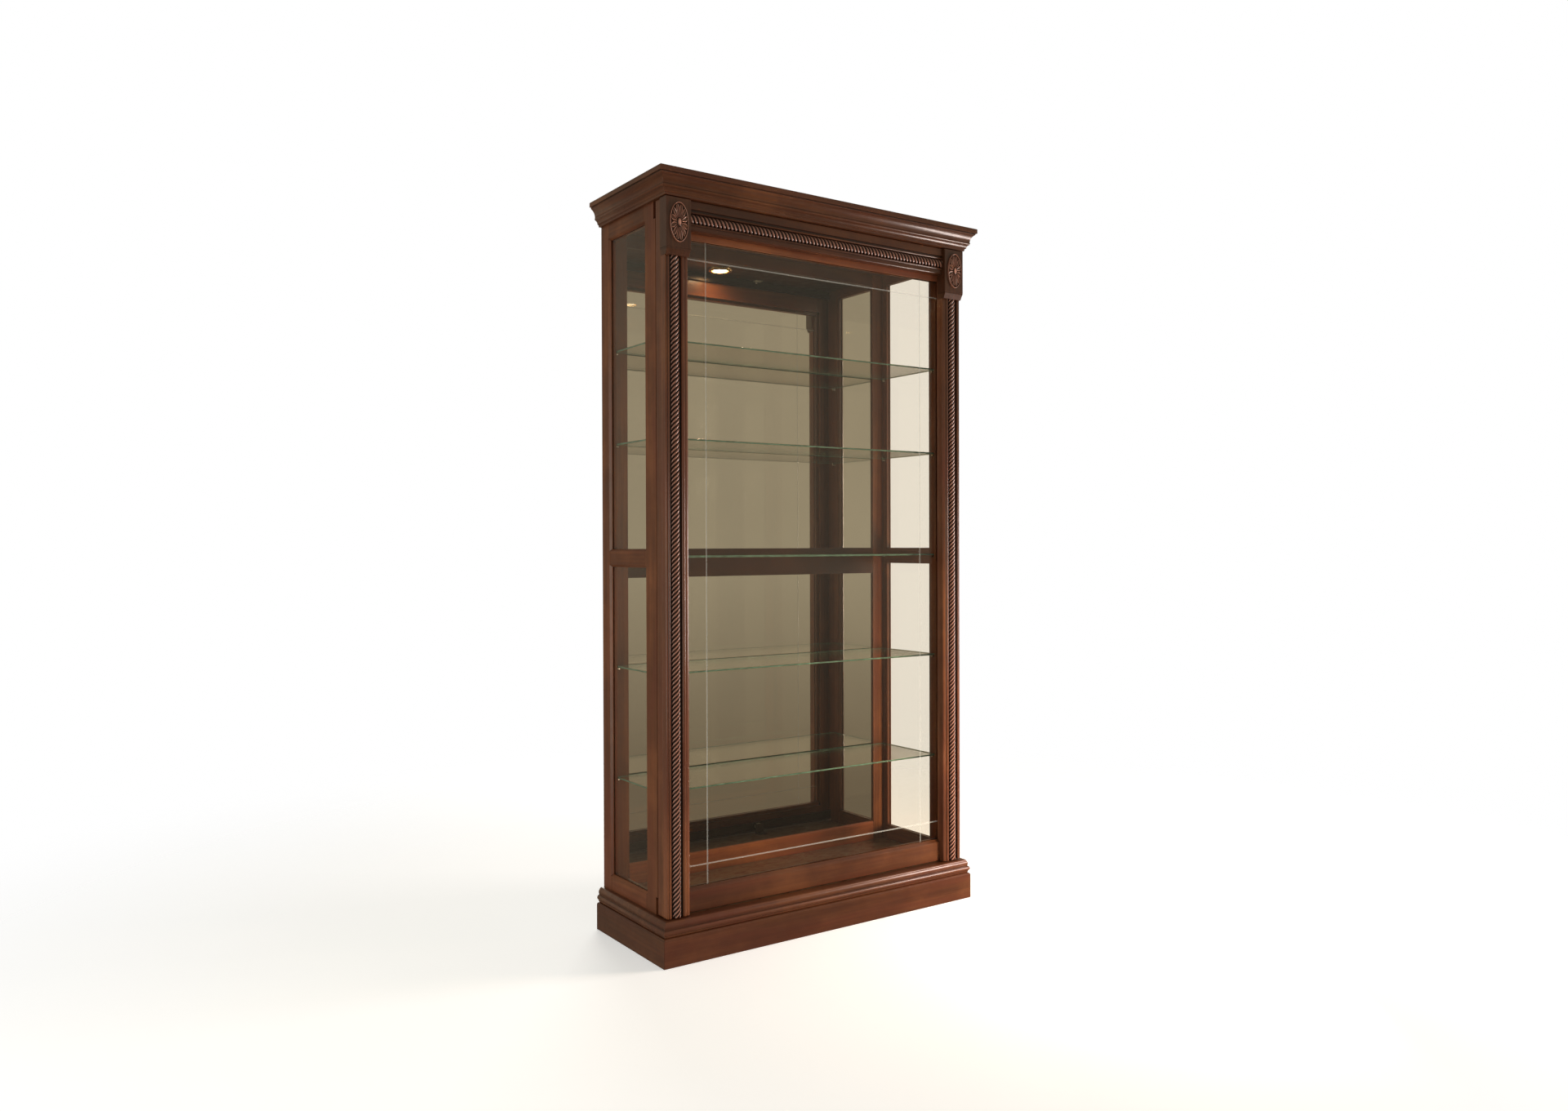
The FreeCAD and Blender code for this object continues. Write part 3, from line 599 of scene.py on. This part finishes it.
def petal_height(radius, angle, petals):
    """Height from 0 to 1, and darkening from 0 to 1 for glaze and painted shade, of a carved oval flower, at a share
    of its radius and an angle.
    """
    if radius > RIM:
        t = (radius - RIM) / (1.0 - RIM)
        return 0.42 + 0.40 * math.sin(math.pi * min(1.0, t * 1.02)), 0.10 * (1.0 - math.sin(math.pi * t))
    if radius < DOME:
        dome = math.sqrt(max(0.0, 1.0 - (radius / DOME) ** 2))
        return 0.50 + 0.50 * dome, 0.6 * (1.0 - dome) ** 2
    if radius < DOME_GROOVE:
        return 0.28, 0.30
    t = (radius - DOME_GROOVE) / (PETAL_TIP - DOME_GROOVE)
    if t >= 1.0:
        return 0.22, 0.22
    slot = 2.0 * math.pi / petals
    off = abs((angle / slot) % 1.0 - 0.5) * 2.0
    width = 0.62 + 0.70 * t if t < 0.5 else 0.97 * max(0.0, math.cos(math.pi / 2 * (t - 0.5) / 0.5)) ** 0.5
    width = max(0.02, min(0.95, width))
    if off >= width:
        return 0.20, 0.24
    side = off / width
    lift = 0.50 + 0.34 * math.sin(math.pi * (0.10 + 0.80 * t))
    # Each petal's lip is barely darkened, so the finish paints it paler, partly wear and partly painted highlight;
    # its scooped middle and the gaps get glaze and painted shade.
    lip = math.exp(-((side - 0.70) / 0.20) ** 2)
    edge = 1.0 if side < 0.80 else math.cos(math.pi / 2 * (side - 0.80) / 0.20)
    scoop = 0.62 + 0.38 * lip
    dark = 0.13 * (1.0 - lip) + 0.2 * max(0.0, (side - 0.88) / 0.12)
    return 0.20 + (lift * scoop - 0.20) * max(0.0, edge), dark


def rosette_mesh(name, half_x, half_z, rise, petals):
    """A carved oval flower with its back on Y = 0 and its face towards -Y, closed at the back."""
    spokes, rings = petals * 24, 64
    mesh = bmesh.new()
    layer = mesh.verts.layers.float.new("cavity")
    centre = mesh.verts.new((0.0, -rise, 0.0))
    circles = []
    for ring in range(1, rings + 1):
        radius = ring / rings
        circle = []
        for spoke in range(spokes):
            angle = 2.0 * math.pi * spoke / spokes
            height, dark = petal_height(radius, angle, petals)
            point = mesh.verts.new((half_x * radius * math.sin(angle), -rise * height,
                                    half_z * radius * math.cos(angle)))
            point[layer] = dark
            circle.append(point)
        circles.append(circle)
    wall = [mesh.verts.new((p.co.x, 0.0, p.co.z)) for p in circles[-1]]
    circles.append(wall)
    for spoke in range(spokes):
        after = (spoke + 1) % spokes
        mesh.faces.new((centre, circles[0][spoke], circles[0][after]))
        for inner, outer in zip(circles, circles[1:]):
            mesh.faces.new((inner[spoke], outer[spoke], outer[after], inner[after]))
    mesh.faces.new(wall)
    return finished_mesh(name, mesh)


class CABINET_OT_rosettes(bpy.types.Operator):
    """Carve the oval flowers on the two corner blocks"""
    bl_idname = "cabinet.rosettes"
    bl_label = "Rosettes"

    def execute(self, context):
        carving = context.scene.cabinet_carving
        low, high = (Vector(c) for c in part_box("rosettes"))
        half_x, half_z = carving.rosette_half_width, (high.z - low.z) / 2
        if high.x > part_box("corner_blocks")[1][0]:
            raise RuntimeError("The rosettes don't fit their corner blocks")
        finish = stained_cherry("carved_rosette", "Z", 171, tone=0.95, glaze_and_shade=False, cavity=True, figure=0.3,
                                gloss=1.0)
        for name, centre in (("rosette_left", low.x + half_x), ("rosette_right", high.x - half_x)):
            mesh = rosette_mesh(name, half_x, half_z, high.y - low.y, carving.petals)
            mesh.transform(Matrix.Translation((centre, high.y, (low.z + high.z) / 2)))
            flower = new_piece(name, mesh, finish, "door")
            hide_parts("rosettes")
        return {"FINISHED"}


# ---------------------------------------------------------------- glass and mirrors

def clear_glass(name, facing, slope_highlights=False):
    """Thin clear glass that looks along one axis. Its edges are green, and slopes cut into its face can be painted
    pale as a painted highlight."""
    glass = bpy.context.scene.cabinet_glass
    mat = Recipe(name)
    place = mat.place()
    clear = mat.add("BsdfTransparent", {"Color": rgba(glass.pane_tint)})
    wave = mat.bump(mat.noise(place, 3.0, detail=1.0), 0.03, 0.004)
    gloss = mat.add("BsdfGlossy", {"Color": (1.0, 1.0, 1.0, 1.0), "Roughness": 0.015, "Normal": wave})
    face = mat.add("MixShader", {0: mat.glance(), 1: clear.outputs[0], 2: gloss.outputs[0]})
    square = mat.flatness(facing)
    depth = mat.noise(mat.moved(place, scale=(9.0, 9.0, 60.0)), 6.0, detail=2.0)
    green = mat.mix(mat.range(depth, 0.3, 0.7), shade(glass.edge_green, 0.6), shade(glass.edge_green, 1.5))
    edge = mat.add("BsdfPrincipled", {"Base Color": green, "Roughness": 0.12, "IOR": 1.5,
                                      "Coat Weight": 0.4, "Coat Roughness": 0.05})
    shader = mat.add("MixShader", {0: mat.range(square, 0.25, 0.45), 1: edge.outputs[0], 2: face.outputs[0]})
    # The V-groove slopes: a pale, partly clear coat that is a painted highlight for the light their polished faces
    # catch.
    if slope_highlights:
        slope_highlight = mat.add("BsdfPrincipled", {
            "Base Color": mat.mix(mat.noise(place, 900.0), (0.50, 0.54, 0.55), (0.72, 0.77, 0.79)),
            "Roughness": 0.35})
        part = mat.add("MixShader", {0: 0.32, 1: clear.outputs[0], 2: slope_highlight.outputs[0]})
        slope = mat.math("MULTIPLY", mat.range(square, 0.45, 0.5), mat.range(square, 0.99, 0.97))
        shader = mat.add("MixShader", {0: slope, 1: shader.outputs[0], 2: part.outputs[0]})
    return mat.finish(shader.outputs[0])


class CABINET_OT_glass(bpy.types.Operator):
    """Glaze the door, the sides and the five shelves"""
    bl_idname = "cabinet.glass"
    bl_label = "Glass"

    def execute(self, context):
        dress("door_glass", clear_glass("door_glass", "Y", slope_highlights=True))
        pane = clear_glass("pane_glass", "X")
        for name in ("side_pane_lower_left", "side_pane_lower_right", "side_pane_upper_left",
                     "side_pane_upper_right"):
            dress(name, pane)
        shelf = clear_glass("shelf_glass", "Z")
        for number in range(1, 6):
            name = "shelf_%d" % number
            dress(name, shelf)
            round_edges(name, GLASS_EDGE, segments=1)
        return {"FINISHED"}


class CABINET_OT_mirrors(bpy.types.Operator):
    """Silver the two mirrors of the back"""
    bl_idname = "cabinet.mirrors"
    bl_label = "Mirrors"

    def execute(self, context):
        silver = context.scene.cabinet_glass.silver
        mat = Recipe("mirror_silver")
        place = mat.place()
        haze = mat.noise(place, 2.2, detail=3.0)
        colour = mat.mix(mat.range(haze, 0.3, 0.7), shade(silver, 0.95), shade(silver, 1.03))
        front = mat.add("BsdfPrincipled", {
            "Base Color": colour, "Metallic": 1.0, "Roughness": mat.range(haze, 0.3, 0.7, 0.012, 0.03)})
        paint = mat.add("BsdfPrincipled", {
            "Base Color": mat.mix(mat.noise(place, 60.0), (0.10, 0.11, 0.11), (0.15, 0.16, 0.16)),
            "Roughness": 0.6})
        look = mat.add("SeparateXYZ", {"Vector": mat.add("TexCoord").outputs["Normal"]}).outputs[1]
        shader = mat.add("MixShader", {0: mat.range(look, -0.45, -0.55), 1: paint.outputs[0],
                                       2: front.outputs[0]})
        material = mat.finish(shader.outputs[0])
        for name in ("mirror_lower", "mirror_upper"):
            dress(name, material)
        return {"FINISHED"}


# ---------------------------------------------------------------- lamp and sliding gear

def drawn_metal(name, colour, roughness, along=2):
    """Metal with fine lines along one axis and a little uneven wear."""
    mat = Recipe(name)
    place = mat.place()
    lines = mat.noise(mat.grained(place, along, 4.0, 320.0), 1.0, detail=3.0, roughness=0.7)
    wear = mat.noise(place, 30.0, detail=4.0)
    tint = mat.mix(mat.range(wear, 0.3, 0.7), shade(colour, 0.82), shade(colour, 1.05))
    rough = mat.math("ADD", mat.range(lines, 0.3, 0.7, roughness * 0.8, roughness * 1.3),
                     mat.range(wear, 0.3, 0.7, 0.0, 0.08))
    shader = mat.add("BsdfPrincipled", {"Base Color": tint, "Metallic": 1.0, "Roughness": rough,
                                        "Normal": mat.bump(lines, 0.18, 0.0002)})
    return mat.finish(shader.outputs[0])


def moulded_nylon(name):
    """Off-white nylon with a faint grain."""
    mat = Recipe(name)
    place = mat.place()
    cloud = mat.noise(place, 90.0, detail=3.0)
    shader = mat.add("BsdfPrincipled", {
        "Base Color": mat.mix(mat.range(cloud, 0.3, 0.7), (0.60, 0.58, 0.52), (0.70, 0.68, 0.62)),
        "Roughness": mat.range(cloud, 0.3, 0.7, 0.34, 0.46), "Subsurface Weight": 0.05,
        "Normal": mat.bump(cloud, 0.08, 0.0003)})
    return mat.finish(shader.outputs[0])


def lens_mesh(name, width, top, bottom):
    """A round lamp face: a flat rim, then a fluted dome down to its lowest point, closed at the back."""
    spokes, rings = 72, 14
    radius = width / 2
    mesh = bmesh.new()
    rim = [mesh.verts.new((radius * math.cos(2 * math.pi * k / spokes), radius * math.sin(2 * math.pi * k / spokes),
                           top)) for k in range(spokes)]
    circles = [rim]
    for ring in range(rings):
        t = ring / rings
        reach = radius * math.cos(t * math.pi / 2)
        drop = (top - bottom) * (0.30 + 0.70 * math.sin(t * math.pi / 2))
        circle = []
        for spoke in range(spokes):
            angle = 2.0 * math.pi * spoke / spokes
            flute = 1.0 - 0.03 * math.sin(math.pi * t) * (0.5 + 0.5 * math.cos(12 * angle))
            circle.append(mesh.verts.new((reach * flute * math.cos(angle), reach * flute * math.sin(angle),
                                          top - drop)))
        circles.append(circle)
    lowest = mesh.verts.new((0.0, 0.0, bottom))
    for spoke in range(spokes):
        after = (spoke + 1) % spokes
        for outer, inner in zip(circles, circles[1:]):
            mesh.faces.new((outer[spoke], outer[after], inner[after], inner[spoke]))
        mesh.faces.new((circles[-1][spoke], circles[-1][after], lowest))
    mesh.faces.new(list(reversed(rim)))
    return finished_mesh(name, mesh)


class CABINET_OT_lamp(bpy.types.Operator):
    """Fit the recessed lamp in the ceiling: trim, can, glowing lens and its light"""
    bl_idname = "cabinet.lamp"
    bl_label = "Lamp"

    def execute(self, context):
        lamp = context.scene.cabinet_lamp
        dress("lamp_trim", drawn_metal("brass_trim", (0.60, 0.40, 0.17), 0.22))
        dress("lamp_can", drawn_metal("lamp_can_metal", (0.62, 0.60, 0.56), 0.35))
        mat = Recipe("lamp_lens")
        place = mat.place()
        dimple = mat.add("TexVoronoi", {"Vector": place, "Scale": 240.0}).outputs["Distance"]
        shine = mat.add("Emission", {
            "Color": mat.mix(mat.range(dimple, 0.0, 0.7), (1.0, 0.86, 0.62), lamp.glow),
            "Strength": lamp.lens_strength})
        body = mat.add("BsdfPrincipled", {"Base Color": (0.85, 0.82, 0.75, 1.0), "Roughness": 0.15,
                                          "Normal": mat.bump(dimple, 0.4, 0.0008)})
        both = mat.add("AddShader", {0: shine.outputs[0], 1: body.outputs[0]})
        low, high = (Vector(c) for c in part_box("lamp_bulb"))
        trim_low, trim_high = (Vector(c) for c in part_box("lamp_trim"))
        dome = lens_mesh("lamp_lens", high.x - low.x, low.z + LENS_RISE, trim_low.z + LENS_CLEAR)
        dome.transform(Matrix.Translation(((low.x + high.x) / 2, (low.y + high.y) / 2, 0.0)))
        lens = new_piece("lamp_lens", dome, mat.finish(both.outputs[0]), "case")
        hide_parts("lamp_bulb")
        for name in ("lamp_trim", "lamp_can"):
            round_edges(name, GLASS_EDGE)
        light = bpy.data.lights.new("lamp_light", "AREA")
        light.shape = "DISK"
        light.size = LAMP_LIGHT_WIDTH
        light.energy = lamp.watts
        light.color = lamp.glow
        glow = bpy.data.objects.new("lamp_light", light)
        glow.location = ((trim_low.x + trim_high.x) / 2, (trim_low.y + trim_high.y) / 2,
                         trim_low.z - LAMP_LIGHT_DROP)
        glow.visible_camera = False
        glow.visible_glossy = False
        context.scene.collection.objects.link(glow)
        return {"FINISHED"}


class CABINET_OT_sliding_gear(bpy.types.Operator):
    """Finish the door's channels, rollers, brackets, guide pins and the shelf pins"""
    bl_idname = "cabinet.sliding_gear"
    bl_label = "Sliding Gear and Pins"

    def execute(self, context):
        aluminium = drawn_metal("channel_bronze_anodised", (0.060, 0.046, 0.038), 0.38, along=0)
        steel = drawn_metal("bracket_steel", (0.085, 0.070, 0.058), 0.40)
        nickel = drawn_metal("pin_nickel", (0.60, 0.57, 0.50), 0.20, along=0)
        nylon = moulded_nylon("nylon")
        for names, material in ((("track_channel", "guide_channel"), aluminium), (("roller_brackets",), steel),
                                (("shelf_pins",), nickel), (("roller_left", "roller_right", "guide_pins"), nylon)):
            for name in names:
                dress(name, material)
                round_edges(name, GEAR_EDGE, segments=1, angle=40.0)
        return {"FINISHED"}


# ---------------------------------------------------------------- stage

class CABINET_OT_stage(bpy.types.Operator):
    """Set the pale floor, the room, the lights and the camera"""
    bl_idname = "cabinet.stage"
    bl_label = "Stage"

    def execute(self, context):
        stage = context.scene.cabinet_stage
        context.scene.view_settings.view_transform = "Standard"
        context.scene.cycles.transparent_max_bounces = 32
        self.floor(context, stage)
        self.room(context, stage)
        for name, power, place, target, size, colour, reflected in LIGHTS:
            self.light(context, name, getattr(stage, power), place, target, size, colour, reflected)
        self.camera(context)
        return {"FINISHED"}

    def floor(self, context, stage):
        """A pale round floor that fades out before its rim."""
        mesh = bmesh.new()
        bmesh.ops.create_circle(mesh, cap_ends=True, cap_tris=True, segments=96, radius=FLOOR_RADIUS)
        data = bpy.data.meshes.new("floor")
        mesh.to_mesh(data)
        mesh.free()
        mat = Recipe("floor_paint")
        place = mat.place()
        away = mat.add("VectorMath", {0: place}, operation="LENGTH").outputs["Value"]
        cloud = mat.noise(place, 3.0, detail=4.0)
        colour = mat.mix(mat.range(cloud, 0.2, 0.8), shade(stage.floor, 0.985), shade(stage.floor, 1.01))
        paint = mat.add("BsdfPrincipled", {"Base Color": colour, "Roughness": 0.7,
                                           "Normal": mat.bump(mat.noise(place, 160.0), 0.04, 0.001)})
        pale = mat.add("Emission", {"Color": rgba(stage.floor), "Strength": FLOOR_GLOW})
        paint = mat.add("AddShader", {0: paint.outputs[0], 1: pale.outputs[0]})
        gone = mat.add("BsdfTransparent", {"Color": (1.0, 1.0, 1.0, 1.0)})
        fade = mat.add("MapRange", {"Value": away, "From Min": FLOOR_FADE_FROM, "From Max": FLOOR_RADIUS * 0.95},
                       interpolation_type="SMOOTHSTEP").outputs["Result"]
        shader = mat.add("MixShader", {0: fade, 1: paint.outputs[0], 2: gone.outputs[0]})
        data.materials.append(mat.finish(shader.outputs[0]))
        floor = bpy.data.objects.new("floor", data)
        context.scene.collection.objects.link(floor)
        floor.visible_glossy = False

    def room(self, context, stage):
        """White where the camera looks past the cabinet, and a warm room in the light, glass and mirrors."""
        world = context.scene.world or bpy.data.worlds.new("room")
        context.scene.world = world
        world.use_nodes = True
        mat = Recipe("room", world.node_tree)
        way = mat.add("SeparateXYZ", {"Vector": mat.add("TexCoord").outputs["Generated"]}).outputs
        colour = mat.mix(mat.range(way[1], -0.35, 0.25), stage.room, ROOM_BEHIND)
        colour = mat.mix(mat.range(way[2], -0.02, -0.20), colour, stage.ground)
        light = mat.add("Background", {"Color": colour, "Strength": 1.0})
        white = mat.add("Background", {"Color": (1.0, 1.0, 1.0, 1.0), "Strength": 1.0})
        seen = mat.add("LightPath").outputs["Is Camera Ray"]
        shader = mat.add("MixShader", {0: seen, 1: light.outputs[0], 2: white.outputs[0]})
        mat.finish(shader.outputs[0])

    def light(self, context, name, watts, place, target, size, colour, reflected):
        """A rectangular soft light, itself unseen, that looks from its place at its target."""
        data = bpy.data.lights.new(name, "AREA")
        data.shape = "RECTANGLE"
        data.size, data.size_y = size
        data.energy = watts
        data.color = colour
        lamp = bpy.data.objects.new(name, data)
        lamp.location = place
        lamp.rotation_euler = (Vector(place) - Vector(target)).to_track_quat("Z", "Y").to_euler()
        lamp.visible_camera = False
        lamp.visible_glossy = reflected
        context.scene.collection.objects.link(lamp)

    def camera(self, context):
        """The camera, to the left of the cabinet's front at about half its height."""
        data = bpy.data.cameras.new("camera")
        data.sensor_width = CAMERA_SENSOR
        data.lens = CAMERA_LENS
        camera = bpy.data.objects.new("camera", data)
        camera.location = CAMERA_PLACE
        camera.rotation_mode = "XYZ"
        yaw, pitch, roll = (math.radians(turn) for turn in (CAMERA_YAW, CAMERA_PITCH, CAMERA_ROLL))
        turn = (Matrix.Rotation(-yaw, 3, "Z") @ Matrix.Rotation(math.pi / 2 + pitch, 3, "X")
                @ Matrix.Rotation(-roll, 3, "Z"))
        camera.rotation_euler = turn.to_euler("XYZ")
        context.scene.collection.objects.link(camera)
        context.scene.camera = camera


# ---------------------------------------------------------------- add-on

class CABINET_PT_pieces(bpy.types.Panel):
    """The cabinet's pieces and their settings"""
    bl_idname = "CABINET_PT_pieces"
    bl_label = "Curio Cabinet"
    bl_space_type = "VIEW_3D"
    bl_region_type = "UI"
    bl_category = "Cabinet"

    def draw(self, context):
        scene = context.scene
        for title, settings, operators in PANEL_ROWS:
            box = self.layout.box()
            box.label(text=title)
            group = getattr(scene, settings)
            for name in group.__annotations__:
                box.prop(group, name)
            for operator in operators:
                box.operator(operator.bl_idname)


GROUPS = (
    ("cabinet_wood", CabinetWoodSettings),
    ("cabinet_carving", CabinetCarvingSettings),
    ("cabinet_glass", CabinetGlassSettings),
    ("cabinet_lamp", CabinetLampSettings),
    ("cabinet_stage", CabinetStageSettings),
)
OPERATORS = (
    CABINET_OT_case_boards,
    CABINET_OT_door_boards,
    CABINET_OT_glazing_stops,
    CABINET_OT_ropes,
    CABINET_OT_rosettes,
    CABINET_OT_glass,
    CABINET_OT_mirrors,
    CABINET_OT_lamp,
    CABINET_OT_sliding_gear,
    CABINET_OT_stage,
)
PANEL_ROWS = (
    ("Wood", "cabinet_wood", OPERATORS[0:3]),
    ("Carving", "cabinet_carving", OPERATORS[3:5]),
    ("Glass", "cabinet_glass", OPERATORS[5:7]),
    ("Lamp and gear", "cabinet_lamp", OPERATORS[7:9]),
    ("Stage", "cabinet_stage", OPERATORS[9:10]),
)


def register():
    for _, group in GROUPS:
        bpy.utils.register_class(group)
    for operator in OPERATORS:
        bpy.utils.register_class(operator)
    bpy.utils.register_class(CABINET_PT_pieces)
    for name, group in GROUPS:
        setattr(bpy.types.Scene, name, PointerProperty(type=group))


def unregister():
    for name, _ in GROUPS:
        delattr(bpy.types.Scene, name)
    bpy.utils.unregister_class(CABINET_PT_pieces)
    for operator in reversed(OPERATORS):
        bpy.utils.unregister_class(operator)
    for _, group in reversed(GROUPS):
        bpy.utils.unregister_class(group)


def main():
    register()
    bpy.ops.cabinet.case_boards()
    bpy.ops.cabinet.door_boards()
    bpy.ops.cabinet.glazing_stops()
    bpy.ops.cabinet.ropes()
    bpy.ops.cabinet.rosettes()
    bpy.ops.cabinet.glass()
    bpy.ops.cabinet.mirrors()
    bpy.ops.cabinet.lamp()
    bpy.ops.cabinet.sliding_gear()
    bpy.ops.cabinet.stage()


if __name__ == "__main__":
    main()
